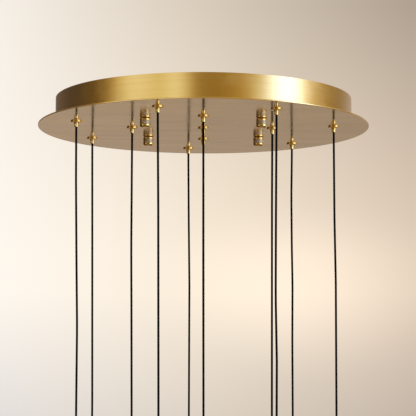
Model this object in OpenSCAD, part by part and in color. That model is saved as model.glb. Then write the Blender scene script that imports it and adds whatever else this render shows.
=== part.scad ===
// Multi-light chandelier: a round brass ceiling canopy with a ring pattern of cord grips.
// Every grip holds a thin black cord, and a small lampholder with a globe bulb hangs on each cord.
// Millimetres. +Z points up, and z = 0 is the ceiling, which the bracket and the drum touch.

/* [Canopy] */
// Diameter of the round bottom plate
plate_d = 496; // [470:2:620]
// Thickness of the bottom plate
plate_t = 2; // [1.5:0.5:4]
// Outside diameter of the drum that stands on the plate
drum_d = 444; // [436:2:468]
// Height of the drum, from the ceiling down to the plate
drum_h = 40; // [40:1:60]
// Wall of the drum
drum_wall = 1.2; // [0.8:0.1:2]
// Width of the lip that is turned in at the drum's foot
drum_lip = 8; // [5:0.5:8]

/* [Ceiling bracket] */
// Width of the bracket's two crossed bars
bracket_w = 30; // [26:1:40]
// Thickness of the bracket
bracket_t = 2.5; // [2:0.25:3]
// Diameter of the disc in the middle of the bracket
bracket_disc_d = 66; // [64:1:80]
// Circle of the four holes for the ceiling screws
ceiling_pcd = 140; // [110:1:180]
// Hole for a ceiling screw
ceiling_hole_d = 5.5; // [4:0.5:7]
// Hole for the mains cable in the middle of the bracket
cable_hole_d = 20; // [12:1:24]
// Spacing of the four studs along X and along Y
stud_spacing = 170; // [166:1:180]
// Diameter of a stud
stud_d = 5; // [4:0.5:6]
// Diameter of a stud's flat head
stud_head_d = 9; // [8:0.5:12]
// Thickness of a stud's flat head
stud_head_t = 1.2; // [0.8:0.1:1.6]

/* [Cap nuts] */
// Diameter of a cap nut's plain ring and of its rounded end
cap_nut_d = 16; // [14:0.2:18]
// Height of the plain ring beside the washer
cap_ring_h = 2.4; // [1.5:0.1:4]
// Diameter over the knurled band's ridges
cap_knurl_d = 15.6; // [13:0.2:18]
// Height of the knurled band
cap_knurl_h = 6.4; // [4:0.2:10]
// Height of the rounded end
cap_end_h = 4.4; // [4.4:0.1:8]
// Radius of the rounded end
cap_end_r = 4; // [2:0.25:4]
// Ridges round the knurled band
cap_ridges = 40; // [24:1:48]
// Depth of the grooves between the ridges
cap_groove = 0.2; // [0.1:0.05:0.6]
// Depth of the stud's hole in a cap nut
cap_bore_depth = 10; // [8:0.5:10]
// Diameter of the washer above a cap nut
washer_d = 12; // [10:0.5:14]
// Thickness of the washer above a cap nut
washer_t = 0.8; // [0.5:0.1:2]
// Width across the flats of the stop nut on the plate
stop_nut_af = 8; // [8:0.5:11]
// Height of the stop nut on the plate
stop_nut_h = 4; // [3:0.5:6]

/* [Cord grips] */
// Radius of the inner ring of four grips
inner_ring_r = 105; // [95:1:110]
// Distance from the drum's outside in to the outer ring of seven grips
outer_ring_in = 25; // [23:1:32]
// Diameter of a grip's saucer
saucer_d = 16.4; // [14:0.2:20]
// Thickness of the saucer's rim, rounded over its lower half
saucer_rim = 2; // [1:0.1:2.4]
// Whole height of the saucer
saucer_h = 2.8; // [2.4:0.1:4]
// Diameter of the collar under the saucer
collar_d = 6.8; // [6.6:0.1:9]
// Diameter of the collar's lower end
collar_end_d = 5.6; // [4.8:0.1:6.2]
// Height of the collar below the saucer
collar_h = 6; // [5:0.2:14]
// Diameter of the threaded shank through the plate
shank_d = 6; // [5:0.2:6.2]
// Height of the shank above the plate
shank_h = 5; // [4:0.2:6]
// Width across the flats of the lock nut
lock_nut_af = 10; // [9:0.5:12]
// Height of the lock nut
lock_nut_h = 3; // [2:0.2:4]

/* [Cords] */
// Diameter of a cord
cord_d = 3.2; // [2:0.2:3.4]
// Free length of the shortest cord, on the outer ring's first grip
first_drop = 435; // [425:5:450]
// How much longer each next cord round the spiral is
drop_step = 20; // [10:1:22]
// Free length of the cord in the middle
centre_drop = 665; // [640:5:720]

/* [Lamps] */
// Diameter of a lampholder's sleeve
holder_d = 28; // [27:0.5:34]
// Whole height of a lampholder
holder_h = 46; // [44:1:60]
// Diameter of the cord inlet on top of a lampholder
inlet_d = 8; // [6:0.5:12]
// Height of the cord inlet
inlet_h = 6; // [3:0.5:10]
// Height of the rounded shoulder
shoulder_h = 8; // [5:0.5:9]
// Height of the bead round the lampholder's mouth
bead_h = 2; // [1:0.5:4]
// How far the bead stands out
bead_out = 0.6; // [0.3:0.1:1.5]
// Wall of the sleeve at its mouth
sleeve_wall = 1.6; // [1:0.1:1.8]
// Depth of the wide mouth that the bulb's skirt stands in
mouth_depth = 10; // [8:0.5:12]
// Diameter of the screw cap on a bulb
screw_cap_d = 13.8; // [13:0.2:14]
// Length of the screw cap on a bulb
screw_cap_h = 17; // [15:0.5:19]
// Diameter of the bulb's skirt
skirt_d = 22; // [20:0.5:22.5]
// How far the skirt stands below the lampholder's mouth
skirt_out = 1.6; // [0.5:0.1:4]
// Diameter of the glass globe
globe_d = 60; // [45:1:62]
// Wall of the glass globe
globe_wall = 1; // [0.8:0.1:1.5]

/* [Junction box] */
// Outside diameter of the box inside the canopy
box_d = 90; // [86:1:96]
// Height of the box without its lid
box_h = 30; // [29:0.5:31]
// Wall and floor of the box
box_wall = 2; // [1.5:0.25:2.5]
// Thickness of the lid
lid_t = 2; // [1.5:0.25:2]
// Hole in the lid for the mains cable
lid_hole_d = 10; // [8:0.5:14]
// Distance from the box's outside in to the three lid screws
lid_screw_in = 5; // [5:0.25:5.5]
// Diameter of a lid screw
lid_screw_d = 2.4; // [2:0.1:2.6]
// Length of a lid screw below its head
lid_screw_l = 12; // [8:0.5:16]
// Diameter of a lid screw's head
lid_head_d = 5; // [4:0.2:6]
// Height of a lid screw's head
lid_head_h = 1.5; // [1:0.1:1.8]
// Diameter of the two studs that hold the box down
box_stud_d = 3; // [2.5:0.1:3.5]
// Distance of those studs from the middle
box_stud_y = 30; // [28:0.5:33]
// Height of those studs above the plate
box_stud_h = 7; // [6.5:0.5:10]
// Width across the flats of the nuts on those studs
box_nut_af = 5.5; // [5:0.1:7]
// Height of the nuts on those studs
box_nut_h = 2.4; // [2:0.1:3]
// Width, length and height of a terminal strip
terminal_size = [14, 48, 12];
// Distance from the middle to the near side of a terminal strip
terminal_gap = 9; // [8:0.5:11]

/* [Earth connection] */
// Distance of the earth screw from the middle, along the first bar
earth_screw_r = 22; // [20:0.5:22.5]
// Diameter of the earth screw
earth_screw_d = 4; // [3:0.5:4]
// Diameter of the earth screw's head
earth_head_d = 7; // [6:0.5:7.5]
// Height of the earth screw's head
earth_head_h = 2; // [1.5:0.1:2.2]
// Thickness of the ring terminal under the earth screw
earth_ring_t = 0.8; // [0.5:0.1:1]
// Diameter of the earth wire
earth_wire_d = 2; // [1.5:0.1:2.4]
// Distance of the earth wire from the middle
earth_wire_r = 30; // [28:0.5:30.5]

/* [Clearances] */
// All-round gap between a thread and the hole that it turns in
thread_gap = 0.05; // [0.02:0.01:0.1]
// All-round gap of a shank, stud or screw in a plain hole
hole_gap = 0.1; // [0.05:0.05:0.3]
// All-round gap of a cord in its grip and in the box wall
cord_gap = 0.2; // [0.1:0.05:0.3]
// All-round gap between a bulb and its lampholder
bulb_gap = 0.3; // [0.2:0.05:0.4]

/* [Hidden] */
$fn = 64;

brass = [0.72, 0.55, 0.26];
polished_gold = [0.86, 0.66, 0.24];
satin_bronze = [0.66, 0.56, 0.45];
steel = [0.70, 0.71, 0.72];
black = [0.05, 0.05, 0.05];
box_grey = [0.85, 0.85, 0.83];
opal = [0.96, 0.95, 0.92];
earth_green = [0.25, 0.60, 0.20];

eps = 0.01;
cord_r = cord_d / 2;
plate_top = -drum_h;
plate_foot = plate_top - plate_t;
nut_top = plate_foot - washer_t;
saucer_foot = plate_foot - saucer_h;
outlet_z = saucer_foot - collar_h;
grip_hole_r = shank_d / 2 + hole_gap;
grip_bore_r = cord_r + cord_gap;

// Four studs, on the corners of a square, in the order of the quadrants
stud_places = [for (a = [45:90:315]) stud_spacing / sqrt(2) * [cos(a), sin(a)]];
stud_bottom = nut_top - cap_bore_depth + 1.5;

// Grip 1 is in the middle, 2 to 5 are the inner ring and 6 to 12 the outer ring, from +X towards +Y.
// The holes stand a little off two even rings: by [x, y] on the inner one, and on the outer one
// by the second number of [angle, how much farther out].
inner_shift = [[-1.5, 0.5], [0, -2], [-2, -3], [0, 0]];
outer_holes = [[-5, -1.5], [46, 3.5], [97, 0.5], [150.5, 1], [197, -1], [250.5, -4], [302, -1]];
outer_ring_r = drum_d / 2 - outer_ring_in;
inner_places = [for (k = [0:3]) inner_ring_r * [cos(90 * k), sin(90 * k)] + inner_shift[k]];
outer_places = [for (h = outer_holes) (outer_ring_r + h[1]) * [cos(h[0]), sin(h[0])]];
grip_places = concat([[0, 0]], inner_places, outer_places);

// Free lengths: they step down in a spiral, round the outer ring and then round the inner ring
function drop(i) = i == 0 ? centre_drop : first_drop + drop_step * (i < 5 ? i + 6 : i - 5);

// Small wanders of each cord on its way down, as [x, y, distance below the grip]
cord_wander = [
    [[0, 0, 0], [0, 0, 8], [0.5, 0, 150], [1.5, 0, 420]],
    [[0, 0, 0], [0, 0, 8], [-0.5, 0, 100], [-1, 0, 420]],
    [[0, 0, 0], [0, 0, 8], [0.5, 0, 180], [1.5, 0, 420]],
    [[0, 0, 0], [0, 0, 8], [0, 0, 60], [0, 0, 170], [1, 0, 260], [2.5, 0, 420]],
    [[0, 0, 0], [0, 0, 8], [0.5, 0, 200], [1.5, 0, 420]],
    [[0, 0, 0], [0, 0, 8], [0.5, 0, 130], [2, 0, 225], [2, 0, 400]],
    [[0, 0, 0], [0, 0, 8], [-1, 0, 75], [-0.5, 0, 150], [0.5, 0, 215], [0, 0, 300]],
    [[0, 0, 0], [0, 0, 8], [1, 0, 105], [2.5, 0, 210]],
    [[0, 0, 0], [0, 0, 8], [1.5, 0, 150], [4, 0, 400]],
    [[0, 0, 0], [0, 0, 8], [0.5, 0, 80], [2.5, 0, 195], [4.5, 0, 295]],
    [[0, 0, 0], [0, 0, 8], [1.5, 0, 135], [3.5, 0, 420]],
    [[0, 0, 0], [0, 0, 8], [-1, 0, 150], [-1.5, 0, 260], [0, 0, 350]]
];
// Where each cord meets its lampholder, beside the point under its grip
cord_ends = [
    [1.5, 0], [-1, 0], [1.5, 0], [2.5, 0], [1.5, 0], [2, 0],
    [0.5, 0], [2.5, 0], [4, 0], [4.5, 0], [3.5, 0], [-1, 0]
];
// Straight stretch of a cord at its lower end
cord_foot = 8;
cord_sides = 8;
tube_angles = [for (s = [0:cord_sides - 1]) 360 * s / cord_sides];
function grip_axis(i) = [grip_places[i][0], grip_places[i][1], 0];

function lamp_place(i) = grip_places[i] + cord_ends[i];
function lamp_top(i) = outlet_z - drop(i);
function lower_points(i) = [for (d = [drop(i) - cord_foot, drop(i)]) [cord_ends[i][0], cord_ends[i][1], d]];
// From the lampholder up to the grip
function cord_route(i) = let (down = concat(cord_wander[i], lower_points(i))) [
    for (k = [len(down) - 1:-1:0]) grip_axis(i) + [down[k][0], down[k][1], outlet_z - down[k][2]]
];

// Tails: each cord goes on above its grip, bends over and runs into the junction box
tail_bend = 10;
inner_run_z = plate_top + shank_h + 1 + tail_bend;
outer_run_z = inner_run_z + cord_d + 4;
tail_in = 7;
centre_tail_h = 12;
centre_tail_top = plate_top + centre_tail_h;
// The tail of grip 7, which is in line with a stud, turns aside by this angle
tail_aside = -6;
function run_z(i) = i < 5 ? inner_run_z : outer_run_z;
function run_angle(i) = atan2(-grip_places[i][1], -grip_places[i][0]) + (i == 6 ? tail_aside : 0);
function run_length(i) = norm(grip_places[i]) - box_d / 2 + box_wall + tail_in;
tail_bend_steps = 3;
// Each point of a tail is [distance from the grip's axis, height, tilt of the cord]
function tail_points(i) = i == 0 ? [[0, outlet_z, 0], [0, centre_tail_top, 0]] : concat(
    [[0, outlet_z, 0]],
    [
        for (t = [0:90 / tail_bend_steps:90])
            [tail_bend * (1 - cos(t)), run_z(i) - tail_bend * (1 - sin(t)), t]
    ],
    [[run_length(i), run_z(i), 90]]
);
function tail_rings(i) = [
    for (p = tail_points(i))
        let (
            out = [cos(run_angle(i)), sin(run_angle(i)), 0],
            across = [-out[1], out[0], 0],
            normal = cos(p[2]) * out + [0, 0, -sin(p[2])],
            middle = grip_axis(i) + p[0] * out + [0, 0, p[1]]
        )
            [for (a = tube_angles) middle + cord_r * (cos(a) * normal + sin(a) * across)]
];

// Angles of the three lid screws, which miss the tails
lid_screw_angles = [20, 125, 226];
lid_boss_r = 3.6;
lid_screw_r = box_d / 2 - lid_screw_in;
box_floor = plate_top + box_wall;
box_top = plate_top + box_h;
lid_top = box_top + lid_t;
terminal_top = box_floor + terminal_size[2];
earth_ring_foot = -bracket_t - earth_ring_t;
first_bar = [cos(45), sin(45)];

// Lampholder and bulb, measured down from the lampholder's top
cap_bore_r = screw_cap_d / 2 + bulb_gap;
mouth_r = holder_d / 2 - sleeve_wall;
mouth_top = -holder_h + mouth_depth;
bulb_shoulder = mouth_top - bulb_gap;
cap_taper = 2;
contact_h = 1;
contact_r = 3;
bulb_top = bulb_shoulder + screw_cap_h + cap_taper + contact_h;
bore_top = bulb_top + bulb_gap;
globe_r = globe_d / 2;
skirt_foot = -holder_h - skirt_out;
globe_z = skirt_foot - sqrt(pow(globe_r, 2) - pow(skirt_d / 2, 2));
globe_inner_r = globe_r - globe_wall;
neck_inner_r = skirt_d / 2 - globe_wall;
neck_inner_z = globe_z + sqrt(pow(globe_inner_r, 2) - pow(neck_inner_r, 2));

function two_digits(n) = n < 10 ? str("0", n) : str(n);
function arc(centre, radius, from, to, steps) = oval(centre, radius, radius, from, to, steps);
function oval(centre, rx, ry, from, to, steps) = [
    for (k = [0:steps])
        let (share = k / steps, a = from * (1 - share) + to * share) centre + [rx * cos(a), ry * sin(a)]
];

module at(place, z = 0) {
    translate([place[0], place[1], z]) children();
}

module hex_nut(across_flats, height, bore_r) {
    difference() {
        rotate([0, 0, 30]) cylinder(h = height, d = across_flats / cos(30), $fn = 6);
        translate([0, 0, -1]) cylinder(h = height + 2, r = bore_r);
    }
}

module ceiling_bracket() {
    color(steel) difference() {
        translate([0, 0, -bracket_t]) linear_extrude(height = bracket_t) union() {
            circle(d = bracket_disc_d);
            for (a = [45, 135]) rotate(a) {
                reach = stud_spacing / sqrt(2);
                square([2 * reach, bracket_w], center = true);
                for (s = [-1, 1]) translate([s * reach, 0]) circle(d = bracket_w + 4);
            }
        }
        translate([0, 0, -bracket_t - 1]) cylinder(h = bracket_t + 2, d = cable_hole_d);
        for (a = [45:90:315]) at(ceiling_pcd / 2 * [cos(a), sin(a)], -bracket_t - 1)
            cylinder(h = bracket_t + 2, d = ceiling_hole_d);
        for (p = stud_places) {
            at(p, -bracket_t - 1) cylinder(h = bracket_t + 2, r = stud_d / 2 + thread_gap);
            at(p, -hole_gap - stud_head_t) cylinder(h = stud_head_t + 1, r = stud_head_d / 2 + hole_gap);
        }
        at(earth_screw_r * first_bar, -bracket_t - 1)
            cylinder(h = bracket_t + 2, r = earth_screw_d / 2 + thread_gap);
    }
}

module bracket_studs() {
    chamfer = 0.6;
    color(steel) for (p = stud_places) at(p) {
        translate([0, 0, -hole_gap - stud_head_t]) cylinder(h = stud_head_t, d = stud_head_d);
        translate([0, 0, stud_bottom + chamfer])
            cylinder(h = -hole_gap - stud_head_t / 2 - stud_bottom - chamfer, d = stud_d);
        translate([0, 0, stud_bottom]) cylinder(h = chamfer, d1 = stud_d - 2 * chamfer, d2 = stud_d);
    }
}

module stop_nuts() {
    color(steel) for (p = stud_places) at(p, plate_top)
        hex_nut(stop_nut_af, stop_nut_h, stud_d / 2 + thread_gap);
}

module canopy_drum() {
    color(brass) rotate_extrude($fn = 180) union() {
        translate([drum_d / 2 - drum_wall, plate_top]) square([drum_wall, drum_h]);
        translate([drum_d / 2 - drum_wall - drum_lip, plate_top])
            square([drum_lip + drum_wall / 2, drum_wall]);
    }
}

module canopy_plate() {
    edge = 0.4;
    r = plate_d / 2;
    color(satin_bronze) difference() {
        union() {
            rotate_extrude($fn = 180) polygon([
                [0, plate_foot], [r - edge, plate_foot], [r, plate_foot + edge],
                [r, plate_top - edge], [r - edge, plate_top], [0, plate_top]
            ]);
            for (s = [-1, 1]) at([0, s * box_stud_y], plate_top - plate_t / 2)
                cylinder(h = plate_t / 2 + box_stud_h, d = box_stud_d);
        }
        for (p = grip_places) at(p, plate_foot - 1) cylinder(h = plate_t + 2, r = grip_hole_r);
        for (p = stud_places) at(p, plate_foot - 1)
            cylinder(h = plate_t + 2, r = stud_d / 2 + 2 * hole_gap);
    }
}

module cap_nut_washers() {
    color(black) for (p = stud_places) at(p, nut_top) difference() {
        cylinder(h = washer_t, d = washer_d);
        translate([0, 0, -1]) cylinder(h = washer_t + 2, r = stud_d / 2 + hole_gap);
    }
}

module cap_nut(k) {
    edge = 0.3;
    r = cap_nut_d / 2;
    knurl_z = -cap_ring_h - cap_knurl_h;
    foot = knurl_z - cap_end_h;
    ridge_r = cap_knurl_d / 2;
    color(polished_gold) at(stud_places[k - 1], nut_top) difference() {
        union() {
            rotate_extrude() polygon([
                [0, 0], [r - edge, 0], [r, -edge],
                [r, -cap_ring_h + edge], [r - edge, -cap_ring_h], [0, -cap_ring_h]
            ]);
            translate([0, 0, knurl_z - eps]) linear_extrude(height = cap_knurl_h + 2 * eps) polygon([
                for (t = [0:2 * cap_ridges - 1])
                    let (a = 180 * t / cap_ridges) (ridge_r - cap_groove * (t % 2)) * [cos(a), sin(a)]
            ]);
            rotate_extrude() polygon(concat(
                [[0, knurl_z], [r - edge, knurl_z], [r, knurl_z - edge]],
                arc([r - cap_end_r, foot + cap_end_r], cap_end_r, 0, -90, 8),
                [[0, foot]]
            ));
        }
        translate([0, 0, -cap_bore_depth]) cylinder(h = cap_bore_depth + 1, r = stud_d / 2 + thread_gap);
    }
}

module grip_saucers() {
    rim = saucer_d / 2;
    seat = collar_d / 2;
    color(polished_gold) for (p = grip_places) at(p, plate_foot) rotate_extrude() polygon(concat(
        [[grip_hole_r, 0], [rim, 0]],
        arc([rim - saucer_rim / 2, -saucer_rim / 2], saucer_rim / 2, 0, -60, 6),
        [[seat + 0.6, -saucer_h], [grip_hole_r, -saucer_h]]
    ));
}

module grip_collars() {
    lip = 0.4;
    top = collar_d / 2;
    end = collar_end_d / 2;
    color(polished_gold) for (p = grip_places) at(p, saucer_foot) rotate_extrude() polygon([
        [grip_bore_r, -collar_h], [end - lip, -collar_h], [end, -collar_h + lip],
        [end + lip / 2, -collar_h / 3], [top - lip, -lip * 2], [top, -lip], [top, 0], [shank_d / 2, 0],
        [shank_d / 2, saucer_h + plate_t + shank_h], [grip_bore_r, saucer_h + plate_t + shank_h]
    ]);
}

module grip_lock_nuts() {
    color(steel) for (p = grip_places) at(p, plate_top)
        hex_nut(lock_nut_af, lock_nut_h, shank_d / 2 + thread_gap);
}

// A tube through rings of points that are listed from its lower or outer end
module tube(rings) {
    n = cord_sides;
    last = (len(rings) - 1) * n;
    points = [for (ring = rings) each ring];
    walls = [
        for (k = [0:n:last - n], s = [0:n - 1])
            let (a = k + s, b = k + (s + 1) % n)
                each [[a, a + n, b], [b, a + n, b + n]]
    ];
    polyhedron(points, concat(walls, [[for (s = [0:n - 1]) s]], [[for (s = [n - 1:-1:0]) last + s]]));
}

module cord_tails() {
    color(black) for (i = [0:11]) tube(tail_rings(i));
}

module junction_box() {
    r = box_d / 2;
    color(box_grey) difference() {
        union() {
            at([0, 0], plate_top) difference() {
                cylinder(h = box_h, r = r);
                translate([0, 0, box_wall]) cylinder(h = box_h, r = r - box_wall);
            }
            for (a = lid_screw_angles) at(lid_screw_r * [cos(a), sin(a)], plate_top)
                cylinder(h = box_h, r = lid_boss_r);
        }
        for (a = lid_screw_angles) at(lid_screw_r * [cos(a), sin(a)], box_top - lid_screw_l)
            cylinder(h = lid_screw_l + 1, r = lid_screw_d / 2 + thread_gap);
        at([0, 0], plate_top - 1) cylinder(h = box_wall + 2, r = lock_nut_af / 2 / cos(30) + 1);
        for (s = [-1, 1]) at([0, s * box_stud_y], plate_top - 1)
            cylinder(h = box_wall + 2, r = box_stud_d / 2 + hole_gap);
        for (i = [1:11]) translate(grip_axis(i) + [0, 0, run_z(i)]) rotate([0, 90, run_angle(i)])
            translate([0, 0, run_length(i) / 2]) cylinder(h = run_length(i) / 2 + 1, r = grip_bore_r);
    }
}

module junction_lid() {
    color(box_grey) at([0, 0], box_top) difference() {
        cylinder(h = lid_t, d = box_d);
        translate([0, 0, -1]) cylinder(h = lid_t + 2, d = lid_hole_d);
        for (a = lid_screw_angles) at(lid_screw_r * [cos(a), sin(a)], -1)
            cylinder(h = lid_t + 2, r = lid_screw_d / 2 + hole_gap);
        at(earth_wire_r * first_bar, -1) cylinder(h = lid_t + 2, r = earth_wire_d / 2 + cord_gap);
    }
}

module lid_screws() {
    below_head = lid_screw_l + lid_t - 1;
    color(steel) for (a = lid_screw_angles) at(lid_screw_r * [cos(a), sin(a)], lid_top) {
        cylinder(h = lid_head_h, d = lid_head_d);
        translate([0, 0, -below_head]) cylinder(h = below_head + lid_head_h / 2, d = lid_screw_d);
    }
}

module box_nuts() {
    color(steel) for (s = [-1, 1]) at([0, s * box_stud_y], box_floor)
        hex_nut(box_nut_af, box_nut_h, box_stud_d / 2 + thread_gap);
}

module terminal_strips() {
    screw_r = 1.6;
    ways = 6;
    pitch = terminal_size[1] / ways;
    color(opal) for (s = [0, 1]) mirror([s, 0, 0]) difference() {
        translate([terminal_gap, -terminal_size[1] / 2, box_floor]) cube(terminal_size);
        for (k = [0:ways - 1])
            translate([terminal_gap + 4, pitch * (k + 0.5) - terminal_size[1] / 2, terminal_top - 4])
                cylinder(h = 5, r = screw_r, $fn = 24);
    }
}

module earth_screw() {
    color(brass) at(earth_screw_r * first_bar, earth_ring_foot) {
        translate([0, 0, -earth_head_h]) cylinder(h = earth_head_h, d = earth_head_d);
        translate([0, 0, -earth_head_h / 2])
            cylinder(h = earth_head_h / 2 - earth_ring_foot - hole_gap, d = earth_screw_d);
    }
}

module earth_wire() {
    tongue_w = 3;
    color(earth_green) {
        difference() {
            union() {
                at(earth_screw_r * first_bar, earth_ring_foot) cylinder(h = earth_ring_t, d = earth_head_d);
                rotate([0, 0, 45]) translate([earth_screw_r, -tongue_w / 2, earth_ring_foot])
                    cube([earth_wire_r - earth_screw_r + tongue_w / 2, tongue_w, earth_ring_t]);
            }
            at(earth_screw_r * first_bar, earth_ring_foot - 1)
                cylinder(h = earth_ring_t + 2, r = earth_screw_d / 2 + hole_gap);
        }
        at(earth_wire_r * first_bar, terminal_top)
            cylinder(h = earth_ring_foot + earth_ring_t / 2 - terminal_top, d = earth_wire_d);
    }
}

module cord(i) {
    color(black) tube([
        for (p = cord_route(i)) [for (a = tube_angles) p + cord_r * [cos(a), sin(a), 0]]
    ]);
}

module lamp_holder(i) {
    inlet_r = inlet_d / 2;
    r = holder_d / 2;
    color(brass) at(lamp_place(i), lamp_top(i)) rotate_extrude() polygon(concat(
        [[0, 0], [inlet_r, 0]],
        oval([inlet_r, -inlet_h - shoulder_h], r - inlet_r, shoulder_h, 90, 0, 10),
        [
            [r, -holder_h + bead_h], [r + bead_out, -holder_h + bead_h], [r + bead_out, -holder_h],
            [mouth_r, -holder_h], [mouth_r, mouth_top], [cap_bore_r, mouth_top],
            [cap_bore_r, bore_top], [0, bore_top]
        ]
    ));
}

module bulb(i) {
    cap_r = screw_cap_d / 2;
    skirt_r = skirt_d / 2;
    top_angle = acos(skirt_r / globe_r);
    inner_angle = acos(neck_inner_r / globe_inner_r);
    color(opal) at(lamp_place(i), lamp_top(i)) rotate_extrude($fn = 72) polygon(concat(
        [[0, bulb_top], [contact_r, bulb_top], [contact_r, bulb_top - contact_h]],
        [[cap_r, bulb_top - contact_h - cap_taper], [cap_r, bulb_shoulder], [skirt_r, bulb_shoulder]],
        arc([0, globe_z], globe_r, top_angle, -90, 30),
        arc([0, globe_z], globe_inner_r, -90, inner_angle, 30),
        [[neck_inner_r, bulb_shoulder - globe_wall], [0, bulb_shoulder - globe_wall]]
    ));
}

ceiling_bracket();
bracket_studs();
stop_nuts();
canopy_drum();
canopy_plate();
cap_nut_washers();
for (k = [1:4]) cap_nut(k);
grip_saucers();
grip_collars();
grip_lock_nuts();
junction_box();
junction_lid();
lid_screws();
box_nuts();
terminal_strips();
cord_tails();
earth_screw();
earth_wire();
for (i = [0:11]) cord(i);
for (i = [0:11]) lamp_holder(i);
for (i = [0:11]) bulb(i);
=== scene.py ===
import math

import bmesh
import bpy
from mathutils import Matrix, Vector


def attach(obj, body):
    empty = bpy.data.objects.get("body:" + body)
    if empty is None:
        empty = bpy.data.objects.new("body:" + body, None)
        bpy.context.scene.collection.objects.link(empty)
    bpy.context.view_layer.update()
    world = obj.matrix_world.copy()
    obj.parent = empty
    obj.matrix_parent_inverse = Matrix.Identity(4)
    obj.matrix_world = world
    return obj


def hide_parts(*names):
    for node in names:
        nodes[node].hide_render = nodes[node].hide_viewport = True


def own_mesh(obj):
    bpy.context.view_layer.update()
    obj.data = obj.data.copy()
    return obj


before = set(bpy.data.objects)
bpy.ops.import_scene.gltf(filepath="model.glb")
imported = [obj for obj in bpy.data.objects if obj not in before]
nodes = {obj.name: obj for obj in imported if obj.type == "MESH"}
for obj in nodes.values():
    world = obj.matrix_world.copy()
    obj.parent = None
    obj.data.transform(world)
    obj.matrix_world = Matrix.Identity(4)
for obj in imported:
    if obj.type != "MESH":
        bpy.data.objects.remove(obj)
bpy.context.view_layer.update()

scene = bpy.context.scene


# Camera: a long lens a little below the canopy, tilted slightly up, as in the photograph
cameraView = {
    "focalPixels": 2000,      # for a frame of 416 pixels
    "framePixels": 416,
    "sensor": 36,
    "clipEnd": 60,
    "place": (0.0022, -2.9675, -0.5426),
    "tiltUp": 0.1272,
    "turnRight": 0.0017,
    "roll": 0.003,
}


def makeCamera():
    data = bpy.data.cameras.new("camera")
    data.sensor_width = cameraView["sensor"]
    data.lens = cameraView["focalPixels"] / cameraView["framePixels"] * cameraView["sensor"]
    data.clip_end = cameraView["clipEnd"]
    camera = bpy.data.objects.new("camera", data)
    scene.collection.objects.link(camera)
    camera.matrix_world = (
        Matrix.Translation(cameraView["place"])
        @ Matrix.Rotation(-cameraView["turnRight"], 4, "Z")
        @ Matrix.Rotation(math.pi / 2 + cameraView["tiltUp"], 4, "X")
        @ Matrix.Rotation(cameraView["roll"], 4, "Z")
    )
    scene.camera = camera


makeCamera()
print("camera done")


# Small helpers for node trees
def addNode(tree, kind, **settings):
    node = tree.nodes.new(kind)
    for name, value in settings.items():
        setattr(node, name, value)
    return node


def setInputs(node, **values):
    for name, value in values.items():
        node.inputs[name].default_value = value
    return node


def join(tree, source, target):
    tree.links.new(source, target)


def mathNode(tree, operation, first, second=None, clamp=False):
    node = addNode(tree, "ShaderNodeMath", operation=operation, use_clamp=clamp)
    for socket, value in zip(node.inputs, (first, second)):
        if value is None:
            continue
        if isinstance(value, (int, float)):
            socket.default_value = value
        else:
            join(tree, value, socket)
    return node.outputs[0]


def plus(tree, first, second):
    return mathNode(tree, "ADD", first, second)


def minus(tree, first, second):
    return mathNode(tree, "SUBTRACT", first, second)


def times(tree, first, second):
    return mathNode(tree, "MULTIPLY", first, second)


def weighted(tree, first, second, share):
    # The given share of the first value, and the rest of the second
    return plus(tree, times(tree, first, share), times(tree, second, 1 - share))


def rangeNode(tree, value, fromMin, fromMax, toMin=0.0, toMax=1.0, smooth=False):
    node = addNode(tree, "ShaderNodeMapRange")
    if smooth:
        node.interpolation_type = "SMOOTHSTEP"
    setInputs(node, **{"From Min": fromMin, "From Max": fromMax, "To Min": toMin, "To Max": toMax})
    join(tree, value, node.inputs["Value"])
    return node.outputs["Result"]


def fade(tree, value, start, stop):
    # Smoothly from nothing at the start to all at the stop
    return rangeNode(tree, value, start, stop, 0.0, 1.0, True)


def mixColour(tree, share, first, second, blend="MIX"):
    # A colour mix has its factor in socket 0, its colours in 6 and 7, and its result in output 2
    node = addNode(tree, "ShaderNodeMix", data_type="RGBA", blend_type=blend)
    for index, value in ((0, share), (6, first), (7, second)):
        socket = node.inputs[index]
        if isinstance(value, (int, float)):
            socket.default_value = value
        elif isinstance(value, (tuple, list)):
            socket.default_value = tuple(value) + (1.0,)
        else:
            join(tree, value, socket)
    return node.outputs[2]


def rampNode(tree, value, stops):
    node = addNode(tree, "ShaderNodeValToRGB")
    elements = node.color_ramp.elements
    while len(elements) > 1:
        elements.remove(elements[-1])
    for index, (place, colour) in enumerate(stops):
        element = elements[0] if index == 0 else elements.new(place)
        element.position = place
        element.color = tuple(colour) + (1.0,)
    join(tree, value, node.inputs["Fac"])
    return node.outputs["Color"]


# Both geometry trees begin with their named sizes and end with real faces and a material
def startTree(name, sizes):
    tree = bpy.data.node_groups.new(name, "GeometryNodeTree")
    tree.interface.new_socket("Geometry", in_out="INPUT", socket_type="NodeSocketGeometry")
    sockets = {}
    for label, kind in sizes:
        socket = tree.interface.new_socket(label, in_out="INPUT", socket_type="NodeSocket" + kind)
        sockets[label] = socket.identifier
    tree.interface.new_socket("Geometry", in_out="OUTPUT", socket_type="NodeSocketGeometry")
    return tree, addNode(tree, "NodeGroupInput"), sockets


def endTree(tree, source, geometry):
    realize = addNode(tree, "GeometryNodeRealizeInstances")
    join(tree, geometry, realize.inputs[0])
    paint = addNode(tree, "GeometryNodeSetMaterial")
    join(tree, realize.outputs[0], paint.inputs["Geometry"])
    join(tree, source.outputs["Material"], paint.inputs["Material"])
    target = addNode(tree, "NodeGroupOutput")
    join(tree, paint.outputs[0], target.inputs[0])


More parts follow.
